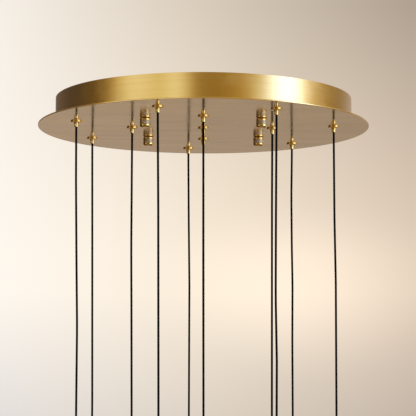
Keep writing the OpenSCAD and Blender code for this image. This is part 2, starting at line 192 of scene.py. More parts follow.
def applyTree(source, name, tree, values):
    modifier = source.modifiers.new("tree", "NODES")
    modifier.node_group = tree
    for identifier, value in values.items():
        modifier[identifier] = value
    bpy.context.view_layer.update()
    mesh = bpy.data.meshes.new_from_object(source.evaluated_get(bpy.context.evaluated_depsgraph_get()))
    mesh.name = name
    source.modifiers.remove(modifier)
    bpy.data.objects.remove(source)
    piece = bpy.data.objects.new(name, mesh)
    scene.collection.objects.link(piece)
    return piece


# Where the cords leave the plate: one grip in the middle, four on the inner ring and seven on the outer.
# Millimetres. An inner grip is shifted by (x, y), and an outer hole is (degrees, how much farther out).
gripRings = {
    "inner": 105,
    "outer": 197,
    "innerShift": [(-1.5, 0.5), (0, -2), (-2, -3), (0, 0)],
    "outerHoles": [(-5, -1.5), (46, 3.5), (97, 0.5), (150.5, 1), (197, -1), (250.5, -4), (302, -1)],
}


def placeGrips():
    places = [(0.0, 0.0)]
    for index, (dx, dy) in enumerate(gripRings["innerShift"]):
        angle, reach = math.radians(90 * index), gripRings["inner"]
        places.append((reach * math.cos(angle) + dx, reach * math.sin(angle) + dy))
    for degrees, farther in gripRings["outerHoles"]:
        angle, reach = math.radians(degrees), gripRings["outer"] + farther
        places.append((reach * math.cos(angle), reach * math.sin(angle)))
    return places


gripPlaces = placeGrips()

# Cords: they hang from the grips, each with the small wanders that the photograph shows.
# The first four values are in metres, the straight stretches and all the lists below in millimetres.
# A cord starts a hair under its tail, so that its end is free to tilt.
cordSizes = {
    "diameter": 0.0032, "outlet": -0.0508, "headGap": 0.00016, "lampTravel": 0.15,
    "straightTop": 8, "straightFoot": 8, "sides": 16, "pathPoints": 28,
}
cordDrops = [665, 575, 595, 615, 635, 435, 455, 475, 495, 515, 535, 555]
# A wander is (x, distance below the grip)
cordWanders = [
    [(0.5, 150), (1.5, 420)],
    [(-0.5, 100), (-1, 420)],
    [(0.5, 180), (1.5, 420)],
    [(0, 60), (0, 170), (1, 260), (2.5, 420)],
    [(0.5, 200), (1.5, 420)],
    [(0.5, 130), (2, 225), (2, 400)],
    [(-1, 75), (-0.5, 150), (0.5, 215), (0, 300)],
    [(1, 105), (2.5, 210)],
    [(1.5, 150), (4, 400)],
    [(0.5, 80), (2.5, 195), (4.5, 295)],
    [(1.5, 135), (3.5, 420)],
    [(-1, 150), (-1.5, 260), (0, 350)],
]
cordEnds = [1.5, -1, 1.5, 2.5, 1.5, 2, 0.5, 2.5, 4, 4.5, 3.5, -1]


def cordPath(index):
    drop, end = cordDrops[index], cordEnds[index]
    x, y = gripPlaces[index]
    knots = [(0, 0), (0, cordSizes["straightTop"])] + cordWanders[index]
    knots += [(end, drop - cordSizes["straightFoot"]), (end, drop)]
    path = []
    last = cordSizes["pathPoints"] - 1
    rounding = 1e-6
    for step in range(last + 1):
        depth = drop * step / last
        piece = next(k for k in range(len(knots) - 1) if depth <= knots[k + 1][1] + rounding)
        (x0, d0), (x1, d1) = knots[piece], knots[piece + 1]
        share = (depth - d0) / (d1 - d0)
        dx = x0 + (x1 - x0) * share
        path.append(Vector(((x + dx) / 1000, y / 1000, cordSizes["outlet"] - depth / 1000)))
    return path


def makeTubeTree():
    # A round tube along a line; it keeps how far along and around each point is, for the braid
    tree, source, sockets = startTree("cordTube", (
        ("Radius", "Float"), ("Sides", "Int"), ("Material", "Material"),
    ))
    line = addNode(tree, "GeometryNodeMeshToCurve")
    join(tree, source.outputs["Geometry"], line.inputs[0])
    profile = addNode(tree, "GeometryNodeCurvePrimitiveCircle")
    join(tree, source.outputs["Radius"], profile.inputs["Radius"])
    join(tree, source.outputs["Sides"], profile.inputs["Resolution"])

    def keepMeasure(curve, label, measure):
        spline = addNode(tree, "GeometryNodeSplineParameter")
        kept = addNode(tree, "GeometryNodeCaptureAttribute", domain="POINT")
        kept.capture_items.new("FLOAT", label)
        join(tree, curve, kept.inputs[0])
        join(tree, spline.outputs[measure], kept.inputs[1])
        return kept.outputs[0], kept.outputs[1]

    route, along = keepMeasure(line.outputs[0], "along", "Length")
    circle, around = keepMeasure(profile.outputs[0], "around", "Factor")
    sweep = addNode(tree, "GeometryNodeCurveToMesh")
    join(tree, route, sweep.inputs["Curve"])
    join(tree, circle, sweep.inputs["Profile Curve"])
    sweep.inputs["Fill Caps"].default_value = True
    geometry = sweep.outputs[0]
    for name, value in (("along", along), ("around", around)):
        store = addNode(tree, "GeometryNodeStoreNamedAttribute", data_type="FLOAT", domain="POINT")
        store.inputs["Name"].default_value = name
        join(tree, geometry, store.inputs["Geometry"])
        join(tree, value, store.inputs["Value"])
        geometry = store.outputs[0]
    smooth = addNode(tree, "GeometryNodeSetShadeSmooth")
    join(tree, geometry, smooth.inputs["Geometry"])
    endTree(tree, source, smooth.outputs[0])
    return tree, sockets


cordMaterial = bpy.data.materials.new("blackCord")
cordMaterial.use_nodes = True


def makeCords():
    tree, sockets = makeTubeTree()
    for index in range(len(cordDrops)):
        label = f"{index + 1:02d}"
        path = cordPath(index)
        line = bpy.data.meshes.new("cordLine")
        head = path[0] - Vector((0, 0, cordSizes["headGap"]))
        line.from_pydata([head] + path[1:], [(k, k + 1) for k in range(len(path) - 1)], [])
        source = bpy.data.objects.new("cordLine", line)
        scene.collection.objects.link(source)
        piece = applyTree(source, "lampCord" + label, tree, {
            sockets["Radius"]: cordSizes["diameter"] / 2,
            sockets["Sides"]: cordSizes["sides"],
            sockets["Material"]: cordMaterial,
        })
        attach(piece, "pendant_" + label)
        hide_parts("cord_" + label)
        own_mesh(piece)


makeCords()
print("cords done")


# Shader groups that several materials share. A stretched noise is (stretch, detail, roughness).
latheNoise = {"fine": ((6, 6, 5200), 4.0, 0.7), "broad": ((3, 3, 900), 2.0, 0.5), "fineShare": 0.65,
              "shadeFrom": (0.3, 0.7)}
smudgeNoise = {"Detail": 5.0, "Roughness": 0.6, "Distortion": 0.4}
smudgeEdge = (0.42, 0.68)
grainNoise = {"Detail": 2.0, "Roughness": 0.6}


def makeGroup(name, inputs, outputs):
    tree = bpy.data.node_groups.new(name, "ShaderNodeTree")
    for label, value in inputs.items():
        socket = tree.interface.new_socket(label, in_out="INPUT", socket_type="NodeSocketFloat")
        socket.default_value = value
    for label in outputs:
        tree.interface.new_socket(label, in_out="OUTPUT", socket_type="NodeSocketFloat")
    return tree, addNode(tree, "NodeGroupInput"), addNode(tree, "NodeGroupOutput")


def stretchedNoise(tree, stretch, detail, rough):
    coords = addNode(tree, "ShaderNodeTexCoord")
    mapping = addNode(tree, "ShaderNodeMapping")
    mapping.inputs["Scale"].default_value = stretch
    join(tree, coords.outputs["Object"], mapping.inputs["Vector"])
    noise = addNode(tree, "ShaderNodeTexNoise")
    setInputs(noise, Scale=1.0, Detail=detail, Roughness=rough)
    join(tree, mapping.outputs[0], noise.inputs["Vector"])
    return noise.outputs["Fac"]


def evenNoise(tree, scale, values):
    coords = addNode(tree, "ShaderNodeTexCoord")
    noise = addNode(tree, "ShaderNodeTexNoise")
    setInputs(noise, **values)
    join(tree, coords.outputs["Object"], noise.inputs["Vector"])
    join(tree, scale, noise.inputs["Scale"])
    return noise.outputs["Fac"]


def makeLatheLines():
    # Fine lines that run level round the canopy, with a few broader bands among them
    tree, source, target = makeGroup("latheLines", {"Depth": 1.0}, ("Height", "Shade"))
    fine = stretchedNoise(tree, *latheNoise["fine"])
    broad = stretchedNoise(tree, *latheNoise["broad"])
    both = weighted(tree, fine, broad, latheNoise["fineShare"])
    join(tree, times(tree, both, source.outputs["Depth"]), target.inputs["Height"])
    join(tree, rangeNode(tree, both, *latheNoise["shadeFrom"]), target.inputs["Shade"])
    return tree


def makeSmudges():
    # Faint cloudy marks from handling, for gloss that isn't even
    tree, source, target = makeGroup("smudges", {"Scale": 14.0}, ("Mask",))
    noise = evenNoise(tree, source.outputs["Scale"], smudgeNoise)
    join(tree, fade(tree, noise, *smudgeEdge), target.inputs["Mask"])
    return tree


def makeGrain():
    # Very fine even grain, for moulded, plated and cast surfaces
    tree, source, target = makeGroup("fineGrain", {"Scale": 900.0}, ("Height",))
    join(tree, evenNoise(tree, source.outputs["Scale"], grainNoise), target.inputs["Height"])
    return tree


latheLines = makeLatheLines()
smudges = makeSmudges()
fineGrain = makeGrain()


def groupNode(tree, group, **values):
    node = addNode(tree, "ShaderNodeGroup", node_tree=group)
    return setInputs(node, **values)


def startMaterial(name, material=None):
    material = material or bpy.data.materials.new(name)
    material.use_nodes = True
    tree = material.node_tree
    tree.nodes.clear()
    shader = addNode(tree, "ShaderNodeBsdfPrincipled")
    output = addNode(tree, "ShaderNodeOutputMaterial")
    join(tree, shader.outputs[0], output.inputs["Surface"])
    return material, tree, shader


def setTone(tree, shader, share, tones):
    join(tree, mixColour(tree, share, *tones), shader.inputs["Base Color"])


def setBump(tree, shader, height, strength, distance):
    bump = addNode(tree, "ShaderNodeBump")
    setInputs(bump, Strength=strength, Distance=distance)
    join(tree, height, bump.inputs["Height"])
    join(tree, bump.outputs[0], shader.inputs["Normal"])


def handlingMarks(tree, look):
    # The marks' mask, and the roughness that they give
    mask = groupNode(tree, smudges, Scale=look["marks"]).outputs["Mask"]
    return mask, rangeNode(tree, mask, 0.0, 1.0, *look["roughness"])


def splitPlace(tree, space="Object"):
    coords = addNode(tree, "ShaderNodeTexCoord")
    split = addNode(tree, "ShaderNodeSeparateXYZ")
    join(tree, coords.outputs[space], split.inputs[0])
    return split.outputs


# Finishes. Tones are (clean, marked) or (dark, light), and roughness is (clean, marked).
# Marks and grain are scales, lines are the depth of the lathe lines, a bump is (strength, metres),
# and "shader" has the shader's other inputs.
brassTones = ((0.72, 0.468, 0.162), (0.88, 0.572, 0.198))
goldTones = ((0.90, 0.60, 0.17), (0.837, 0.558, 0.1581))
plainMetal = {"Metallic": 1.0}
moulded = {"marks": 40.0, "grain": 2200.0, "bump": (0.2, 0.00002), "shader": {"Metallic": 0.0}}
drumLook = {
    "tones": brassTones, "roughness": (0.17, 0.27), "marks": 9.0, "lines": 1.0, "bump": (0.25, 0.00002),
    "shader": {"Metallic": 1.0, "Anisotropic": 0.6},
}
plateLook = {
    "tones": brassTones, "roughness": (0.11, 0.17), "marks": 7.0, "bump": (0.1, 0.00001),
    "shader": {"Metallic": 0.86}, "fine": ((4, 170, 4), 5.0, 0.65), "wide": ((7, 42, 7), 3.0, 0.55),
    "fineShare": 0.5, "marksShare": 0.5, "roughnessFrom": (0.1, 0.7), "shadeFrom": (0.4, 0.6),
}
goldLook = {"tones": goldTones, "roughness": (0.06, 0.16), "marks": 160.0, "shader": plainMetal}
# The nut's ridged band, between two heights in metres, is duller than its ring and its end; its greyer tone
# is painted sheen, for the highlights that the ridges scatter
nutLook = {
    "tones": (goldTones[0], (0.54, 0.42, 0.23)), "roughness": (0.08, 0.16), "marks": 200.0,
    "bandTop": -0.04525, "bandFoot": -0.0516, "bandDull": 0.3, "shader": plainMetal,
}
steelLook = {
    "tones": ((0.66, 0.67, 0.68), (0.52, 0.53, 0.53)), "roughness": (0.32, 0.45), "marks": 60.0,
    "grain": 700.0, "bump": (0.15, 0.00003), "shader": plainMetal,
}
rubberLook = {**moulded, "tones": ((0.02, 0.02, 0.02), (0.035, 0.033, 0.03)), "roughness": (0.6, 0.72)}
boxLook = {**moulded, "tones": ((0.70, 0.70, 0.67), (0.62, 0.61, 0.58)), "roughness": (0.42, 0.54)}
terminalLook = {**moulded, "tones": ((0.82, 0.80, 0.74), (0.74, 0.72, 0.66)), "roughness": (0.38, 0.5)}
skirtLook = {**moulded, "tones": ((0.80, 0.79, 0.76), (0.73, 0.71, 0.67)), "roughness": (0.35, 0.47)}
tipGlassLook = {**moulded, "tones": ((0.012, 0.012, 0.013), (0.03, 0.028, 0.026)), "roughness": (0.12, 0.24)}
# The braid has so many strands each way round the cord, and so many to a metre
clothLook = {
    "tones": ((0.0015, 0.0015, 0.0016), (0.006, 0.006, 0.006)), "strandsRound": 12.0, "strandsAlong": 900.0,
    "bump": (0.15, 0.00005), "shader": {"Roughness": 0.9, "Specular IOR Level": 0.04},
}
# The stripe winds by so many radians to a metre, along x and along z
earthLook = {
    "tones": ((0.05, 0.30, 0.06), (0.75, 0.62, 0.05)), "wind": (900.0, 700.0), "stripeFrom": (0.1, 0.4),
    "shader": {"Roughness": 0.45},
}
opalLook = {
    "tones": ((0.84, 0.82, 0.78), (0.80, 0.78, 0.74)), "roughness": (0.12, 0.2), "marks": 30.0,
    "shader": {
        "Subsurface Weight": 0.35, "Subsurface Scale": 0.01, "Coat Weight": 0.4, "Coat Roughness": 0.05,
    },
}
lampLook = {
    "tones": ((0.74, 0.49, 0.18), (0.80, 0.56, 0.23)), "roughness": (0.2, 0.32), "marks": 55.0,
    "lines": 1.0, "bump": (0.2, 0.00002), "shader": plainMetal,
}
shellLook = {
    "tones": ((0.70, 0.68, 0.63), (0.55, 0.53, 0.49)), "roughness": (0.2, 0.34), "marks": 120.0,
    "shader": plainMetal,
}


def makeMarked(name, look):
    # A plain finish with handling marks, and with a fine grain where the look has one
    material, tree, shader = startMaterial(name)
    mask, gloss = handlingMarks(tree, look)
    setTone(tree, shader, mask, look["tones"])
    join(tree, gloss, shader.inputs["Roughness"])
    setInputs(shader, **look["shader"])
    if "grain" in look:
        grain = groupNode(tree, fineGrain, Scale=look["grain"])
        setBump(tree, shader, grain.outputs["Height"], *look["bump"])
    return material


def makeTurnedBrass(name, look):
    # Brass with fine lathe lines; where the look is anisotropic, the highlights stretch across them
    material, tree, shader = startMaterial(name)
    lines = groupNode(tree, latheLines, Depth=look["lines"])
    _, gloss = handlingMarks(tree, look)
    setTone(tree, shader, lines.outputs["Shade"], look["tones"])
    join(tree, gloss, shader.inputs["Roughness"])
    setInputs(shader, **look["shader"])
    if "Anisotropic" in look["shader"]:
        tangent = addNode(tree, "ShaderNodeTangent", direction_type="RADIAL", axis="Z")
        join(tree, tangent.outputs[0], shader.inputs["Tangent"])
    setBump(tree, shader, lines.outputs["Height"], *look["bump"])
    return material


def makePlateMetal():
    # Satin plate, brushed straight across from left to right
    material, tree, shader = startMaterial("satinPlate")
    look = plateLook
    marks = groupNode(tree, smudges, Scale=look["marks"])
    brushing = stretchedNoise(tree, *look["fine"])
    strokes = weighted(tree, brushing, stretchedNoise(tree, *look["wide"]), look["fineShare"])
    gloss = weighted(tree, marks.outputs["Mask"], strokes, look["marksShare"])
    gloss = rangeNode(tree, gloss, *look["roughnessFrom"], *look["roughness"])
    join(tree, gloss, shader.inputs["Roughness"])
    setTone(tree, shader, rangeNode(tree, strokes, *look["shadeFrom"]), look["tones"])
    setInputs(shader, **look["shader"])
    setBump(tree, shader, brushing, *look["bump"])
    return material


def makeNutMetal():
    material, tree, shader = startMaterial("capNutMetal")
    z = splitPlace(tree)["Z"]
    below = mathNode(tree, "LESS_THAN", z, nutLook["bandTop"])
    above = mathNode(tree, "GREATER_THAN", z, nutLook["bandFoot"])
    band = times(tree, below, above)
    _, gloss = handlingMarks(tree, nutLook)
    # The band's grey tone is painted sheen for the highlights that its ridges scatter; its extra roughness is
    # real
    setTone(tree, shader, band, nutLook["tones"])
    join(tree, plus(tree, times(tree, band, nutLook["bandDull"]), gloss), shader.inputs["Roughness"])
    setInputs(shader, **nutLook["shader"])
    return material


def makeCordCloth():
    # Fine black braid: two sets of strands that cross round the cord
    _, tree, shader = startMaterial("blackCord", cordMaterial)
    around = addNode(tree, "ShaderNodeAttribute", attribute_name="around").outputs["Fac"]
    along = addNode(tree, "ShaderNodeAttribute", attribute_name="along").outputs["Fac"]
    strands = []
    for turn in (1, -1):
        slope = plus(tree, times(tree, around, turn * clothLook["strandsRound"]),
                     times(tree, along, clothLook["strandsAlong"]))
        strands.append(mathNode(tree, "SINE", times(tree, slope, 2 * math.pi)))
    weave = mathNode(tree, "MAXIMUM", *strands)
    setTone(tree, shader, rangeNode(tree, weave, -1.0, 1.0), clothLook["tones"])
    setInputs(shader, **clothLook["shader"])
    setBump(tree, shader, weave, *clothLook["bump"])


def makeEarthSleeve():
    # Green with a yellow stripe that winds round the wire
    material, tree, shader = startMaterial("earthSleeve")
    x, _, z = splitPlace(tree)
    windX, windZ = earthLook["wind"]
    slope = plus(tree, times(tree, z, windZ), times(tree, x, windX))
    stripe = mathNode(tree, "SINE", slope)
    setTone(tree, shader, rangeNode(tree, stripe, *earthLook["stripeFrom"]), earthLook["tones"])
    setInputs(shader, **earthLook["shader"])
    return material


drumBrass = makeTurnedBrass("brushedBrass", drumLook)
plateMetal = makePlateMetal()
polishedGold = makeMarked("polishedGold", goldLook)
nutMetal = makeNutMetal()
platedSteel = makeMarked("platedSteel", steelLook)
blackRubber = makeMarked("blackRubber", rubberLook)
boxPlastic = makeMarked("boxPlastic", boxLook)
terminalPlastic = makeMarked("terminalPlastic", terminalLook)
makeCordCloth()
earthSleeve = makeEarthSleeve()
opalGlass = makeMarked("opalGlass", opalLook)
lampBrass = makeTurnedBrass("lampBrass", lampLook)
skirtPlastic = makeMarked("skirtPlastic", skirtLook)
screwShell = makeMarked("screwShell", shellLook)
blackGlass = makeMarked("blackGlass", tipGlassLook)
print("materials done")


# Turned pieces: a profile of (radius, height) points in millimetres, spun round an upright axis.
# A profile that starts and ends on the axis makes a closed piece.
# So does one that comes back to its start.
threadSteps = 6               # points to a turn of thread
sharpAngle = 40               # degrees; steeper edges stay sharp


def arcPoints(radius, height, across, upright, start, stop, steps):
    points = []
    for step in range(steps + 1):
        angle = math.radians(start + (stop - start) * step / steps)
        points.append((radius + across * math.cos(angle), height + upright * math.sin(angle)))
    return points


def roundArc(radius, height, size, start, stop, steps):
    return arcPoints(radius, height, size, size, start, stop, steps)


def threadPoints(rootRadius, crestRadius, top, foot, pitch):
    # Heights for a thread; spinProfile gives them their radius
    steps = round((top - foot) / pitch * threadSteps)
    thread = ("thread", rootRadius, crestRadius, pitch)
    return [(thread, top + (foot - top) * k / steps) for k in range(steps + 1)]


def spinProfile(shape, profile, sides, place, slot=0):
    x, y, z = place
    rings = []
    for radius, height in profile:
        if radius == 0:
            rings.append([shape.verts.new((x / 1000, y / 1000, (z + height) / 1000))])
            continue
        ring = []
        for side in range(sides):
            angle = 2 * math.pi * side / sides
            reach = radius
            if isinstance(radius, tuple):
                _, root, crest, pitch = radius
                wave = 0.5 + 0.5 * math.cos(2 * math.pi * height / pitch - angle)
                reach = root + (crest - root) * wave
            corner = (x + reach * math.cos(angle), y + reach * math.sin(angle), z + height)
            ring.append(shape.verts.new([part / 1000 for part in corner]))
        rings.append(ring)
    if profile[0] == profile[-1] and profile[0][0] != 0:
        for vert in rings[-1]:
            shape.verts.remove(vert)
        rings[-1] = rings[0]
    for upper, lower in zip(rings, rings[1:]):
        for side in range(sides):
            after = (side + 1) % sides
            if len(upper) == 1:
                corners = (upper[0], lower[side], lower[after])
            elif len(lower) == 1:
                corners = (upper[side], lower[0], upper[after])
            else:
                corners = (upper[side], lower[side], lower[after], upper[after])
            shape.faces.new(corners).material_index = slot


def turnedPiece(name, build, materials):
    shape = bmesh.new()
    build(shape)
    bmesh.ops.recalc_face_normals(shape, faces=list(shape.faces))
    mesh = bpy.data.meshes.new(name)
    shape.to_mesh(mesh)
    shape.free()
    for material in materials:
        mesh.materials.append(material)
    mesh.shade_smooth()
    mesh.set_sharp_from_angle(angle=math.radians(sharpAngle))
    piece = bpy.data.objects.new(name, mesh)
    scene.collection.objects.link(piece)
    return piece


def enrol(piece, body, node):
    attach(piece, body)
    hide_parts(node)


# Heights of the canopy's foot, in millimetres
plateTop = -40
plateFoot = -42


# Cord grips: a saucer with a thick rounded rim, and a slim collar that the cord comes out of
gripSizes = {
    "rimRadius": 8.2, "rimThick": 2.0, "rimEdge": 0.25, "saucerHeight": 2.8, "hollowRadius": 4.0,
    "holeRadius": 3.1, "saucerSides": 48,
    "collarTop": 3.4, "collarEnd": 2.8, "collarHeight": 6.0, "collarSides": 32,
    "topEdge": 0.35, "waistFoot": 2.2, "waistHeight": 1.3, "waistOut": 0.2,
    "footOut": 0.05, "footTop": 0.6, "footEdge": 0.4, "boreRadius": 1.8, "boreEdge": 0.2,
    "shankRadius": 3.0, "shankTop": 5.0, "shankEdge": 0.3, "shankIn": 0.02,
    "threadPitch": 0.75, "threadRoot": 0.25, "threadCrest": 0.01, "threadTop": 0.4, "threadFoot": 0.2,
}


def saucerProfile():
    sizes = gripSizes
    edge, half, foot = sizes["rimEdge"], sizes["rimThick"] / 2, -sizes["saucerHeight"]
    hole, hollowRadius = sizes["holeRadius"], sizes["hollowRadius"]
    rim = roundArc(sizes["rimRadius"] - edge, -edge, edge, 90, 0, 3)
    rim += roundArc(sizes["rimRadius"] - half, -half, half, 0, -66, 7)
    rimEnd, rimFoot = rim[-1]
    hollow = arcPoints(rimEnd, foot, hollowRadius - rimEnd, rimFoot - foot, 90, 8, 6)
    return [(hole, 0)] + rim + hollow[1:] + [(hollowRadius, foot), (hole, foot), (hole, 0)]


def collarProfile():
    sizes = gripSizes
    top, end, foot = sizes["collarTop"], sizes["collarEnd"], -sizes["collarHeight"]
    topEdge, footEdge = sizes["topEdge"], sizes["footEdge"]
    bore, shank = sizes["boreRadius"], sizes["shankRadius"]
    shankTop = sizes["saucerHeight"] + plateTop - plateFoot + sizes["shankTop"]
    outer = [(top, 0)] + roundArc(top - topEdge, -topEdge, topEdge, 0, -70, 4)
    waist = top - end - sizes["waistOut"]
    outer += arcPoints(top, -sizes["waistFoot"], -waist, sizes["waistHeight"], 70, 0, 5)
    outer += [(end + sizes["footOut"], foot + sizes["footTop"])]
    outer += roundArc(end - footEdge, foot + footEdge, footEdge, 0, -90, 5)
    thread = threadPoints(shank - sizes["threadRoot"], shank - sizes["threadCrest"],
                          shankTop - sizes["threadTop"], sizes["threadFoot"], sizes["threadPitch"])
    start = (shank - sizes["shankEdge"], shankTop)
    bored = [(bore + sizes["boreEdge"], foot), (bore, foot + sizes["boreEdge"]), (bore, shankTop)]
    return [start] + thread + [(shank - sizes["shankIn"], 0)] + outer + bored + [start]


def makeGrips():
    sizes = gripSizes

    def saucers(shape):
        for x, y in gripPlaces:
            spinProfile(shape, saucerProfile(), sizes["saucerSides"], (x, y, plateFoot))

    def collars(shape):
        top = plateFoot - sizes["saucerHeight"]
        for x, y in gripPlaces:
            spinProfile(shape, collarProfile(), sizes["collarSides"], (x, y, top))

    enrol(turnedPiece("gripSaucers", saucers, [polishedGold]), "canopy", "grip_saucers")
    enrol(turnedPiece("gripCollars", collars, [polishedGold]), "canopy", "grip_collars")


# Cap nuts: a plain ring, a band of fine ridges and a rounded end
nutSizes = {
    "studSpacing": 170, "washer": 0.8, "radius": 8.0, "edge": 0.35, "sides": 64,
    "ringHeight": 2.4, "bandHeight": 6.4, "bandRadius": 7.8, "bandIn": 0.06,
    "endHeight": 4.4, "endRadius": 4.0,
    "ridges": 48, "ridgeSides": 6, "ridgeRadius": 0.38, "ridgeShort": 0.1,
    "boreRadius": 2.55, "boreDepth": 10, "boreTip": 0.8, "weld": 0.001,
}


def nutProfile():
    sizes = nutSizes
    radius, edge, end = sizes["radius"], sizes["edge"], sizes["endRadius"]
    band = sizes["bandRadius"] - sizes["bandIn"]
    bandTop = -sizes["ringHeight"]
    bandFoot = bandTop - sizes["bandHeight"]
    foot = bandFoot - sizes["endHeight"]
    ring = roundArc(radius - edge, -edge, edge, 90, 0, 4)
    ring += roundArc(radius - edge, bandTop + edge, edge, 0, -90, 4)
    cap = roundArc(radius - edge, bandFoot - edge, edge, 90, 0, 4)
    cap += roundArc(radius - end, foot + end, end, 0, -84, 12)
    return [(sizes["boreRadius"], 0)] + ring + [(band, bandTop), (band, bandFoot)] + cap + [(0, foot)]


def makeRidgeTree():
    # Upright rods, half sunk in the band, that stand in a ring round the piece that the tree is given
    tree, source, sockets = startTree("ridgeRing", (
        ("Ring Radius", "Float"), ("Ridge Radius", "Float"), ("Ridge Height", "Float"),
        ("Count", "Int"), ("Middle", "Vector"), ("Material", "Material"),
    ))
    given = source.outputs
    ring = addNode(tree, "GeometryNodeMeshCircle")
    join(tree, given["Count"], ring.inputs["Vertices"])
    join(tree, given["Ring Radius"], ring.inputs["Radius"])
    place = addNode(tree, "GeometryNodeTransform")
    join(tree, ring.outputs[0], place.inputs["Geometry"])
    join(tree, given["Middle"], place.inputs["Translation"])
    rod = addNode(tree, "GeometryNodeMeshCylinder", fill_type="NGON")
    rod.inputs["Vertices"].default_value = nutSizes["ridgeSides"]
    join(tree, given["Ridge Radius"], rod.inputs["Radius"])
    join(tree, given["Ridge Height"], rod.inputs["Depth"])
    position = addNode(tree, "GeometryNodeInputPosition")
    outward = addNode(tree, "ShaderNodeVectorMath", operation="SUBTRACT")
    join(tree, position.outputs[0], outward.inputs[0])
    join(tree, given["Middle"], outward.inputs[1])
    turn = addNode(tree, "FunctionNodeAlignRotationToVector", axis="X")
    join(tree, outward.outputs[0], turn.inputs["Vector"])
    spread = addNode(tree, "GeometryNodeInstanceOnPoints")
    join(tree, place.outputs[0], spread.inputs["Points"])
    join(tree, rod.outputs[0], spread.inputs["Instance"])
    join(tree, turn.outputs[0], spread.inputs["Rotation"])
    together = addNode(tree, "GeometryNodeJoinGeometry")
    join(tree, spread.outputs[0], together.inputs[0])
    join(tree, given["Geometry"], together.inputs[0])
    endTree(tree, source, together.outputs[0])
    return tree, sockets


def makeCapNuts():
    sizes = nutSizes
    tree, sockets = makeRidgeTree()
    half = sizes["studSpacing"] / 2
    top = plateFoot - sizes["washer"]
    middle = top - sizes["ringHeight"] - sizes["bandHeight"] / 2
    bore, depth = sizes["boreRadius"], sizes["boreDepth"]
    boreProfile = [(bore, 0), (bore, -depth), (0, -depth - sizes["boreTip"])]
    for number, (x, y) in enumerate(((half, half), (-half, half), (-half, -half), (half, -half)), start=1):
        def build(shape):
            spinProfile(shape, nutProfile(), sizes["sides"], (x, y, top))
            spinProfile(shape, boreProfile, sizes["sides"], (x, y, top))
            bmesh.ops.remove_doubles(shape, verts=list(shape.verts), dist=sizes["weld"] / 1000)

        body = turnedPiece("nutBody", build, [nutMetal])
        piece = applyTree(body, f"capNut{number}", tree, {
            sockets["Ring Radius"]: (sizes["bandRadius"] - sizes["ridgeRadius"]) / 1000,
            sockets["Ridge Radius"]: sizes["ridgeRadius"] / 1000,
            sockets["Ridge Height"]: (sizes["bandHeight"] - sizes["ridgeShort"]) / 1000,
            sockets["Count"]: sizes["ridges"],
            sockets["Middle"]: (x / 1000, y / 1000, middle / 1000),
            sockets["Material"]: nutMetal,
        })
        enrol(piece, f"nut_{number}", f"cap_nut_{number}")


# Lampholders: a cord inlet, a rounded shoulder and a sleeve with a bead round its mouth
holderSizes = {
    "radius": 14, "height": 46, "shoulder": 8, "sides": 64,
    "inletRadius": 4, "inletHeight": 6, "inletGap": 0.15, "inletDepth": 0.4, "inletEdge": 0.8,
    "inletHollow": 0.9,
    "grooves": (-17.0, -19.0, -40.5), "grooveDepth": 0.35, "grooveHalf": 0.5, "grooveSide": 0.8,
    "beadHeight": 2, "beadOut": 0.6, "mouthRadius": 12.4, "mouthDepth": 10, "mouthEdge": 0.3,
    "boreRadius": 7.2, "boreTop": -15.7, "boreEdge": 0.4,
}
# Bulbs: a screw cap with a rolled thread, a moulded skirt and an opal globe
bulbSizes = {
    "shoulder": -36.3, "seam": 0.02, "sides": 72, "capSides": 40,
    "globeRadius": 30, "neckIn": 0.3, "neckTurn": 0.4,
    "skirtRadius": 11, "skirtFoot": -47.6, "skirtEdge": 0.6, "lipIn": 0.25, "lipTop": 1.2, "lipFoot": 0.9,
    "capRadius": 6.9, "capHeight": 17, "capEdge": 0.8, "collarIn": 0.1, "collarTop": 1.8,
    "threadPitch": 2.8, "threadRoot": 0.75, "threadCrest": 0.05, "threadFoot": 2.6,
    "glassHeight": 2, "glassIn": 1.0, "glassOut": 0.2,
    "contactRadius": 3, "contactHeight": 1, "contactEdge": 0.5,
}


def holderProfile():
    sizes = holderSizes
    radius, foot = sizes["radius"], -sizes["height"]
    hole = cordSizes["diameter"] * 1000 / 2 + sizes["inletGap"]
    inlet, inletFoot = sizes["inletRadius"], -sizes["inletHeight"]
    edge, hollow = sizes["inletEdge"], sizes["inletHollow"]
    points = [(0, -sizes["inletDepth"]), (hole, -sizes["inletDepth"]), (hole, 0)]
    points += roundArc(inlet - edge, -edge, edge, 90, 0, 5) + [(inlet, inletFoot + hollow)]
    points += arcPoints(inlet + hollow, inletFoot + hollow, -hollow, hollow, 0, -68, 4)[1:]
    points += arcPoints(inlet, inletFoot - sizes["shoulder"], radius - inlet, sizes["shoulder"], 74, 0, 14)
    half, depth = sizes["grooveHalf"], sizes["grooveDepth"]
    side = radius - depth * sizes["grooveSide"]
    for z in sizes["grooves"]:
        points += [(radius, z + half), (side, z + half / 2), (radius - depth, z)]
        points += [(side, z - half / 2), (radius, z - half)]
    bead = sizes["beadHeight"] / 2
    points += [(radius, foot + 2 * bead)]
    points += roundArc(radius + sizes["beadOut"] - bead, foot + bead, bead, 70, -90, 9)
    mouth, mouthTop, mouthEdge = sizes["mouthRadius"], foot + sizes["mouthDepth"], sizes["mouthEdge"]
    points += [(mouth + mouthEdge, foot), (mouth, foot + mouthEdge), (mouth, mouthTop)]
    bore, boreEdge = sizes["boreRadius"], sizes["boreEdge"]
    points += [(bore + boreEdge, mouthTop), (bore, mouthTop + boreEdge)]
    return points + [(bore, sizes["boreTop"]), (0, sizes["boreTop"])]


def globeProfile():
    sizes = bulbSizes
    ball, skirt, top = sizes["globeRadius"], sizes["skirtRadius"], sizes["skirtFoot"] - sizes["seam"]
    middle = sizes["skirtFoot"] - math.sqrt(ball ** 2 - skirt ** 2)
    neck = math.degrees(math.acos(skirt / ball)) - sizes["neckTurn"]
    return ([(0, top), (skirt - sizes["neckIn"], top)] + roundArc(0, middle, ball, neck, -88, 44)
            + [(0, middle - ball)])


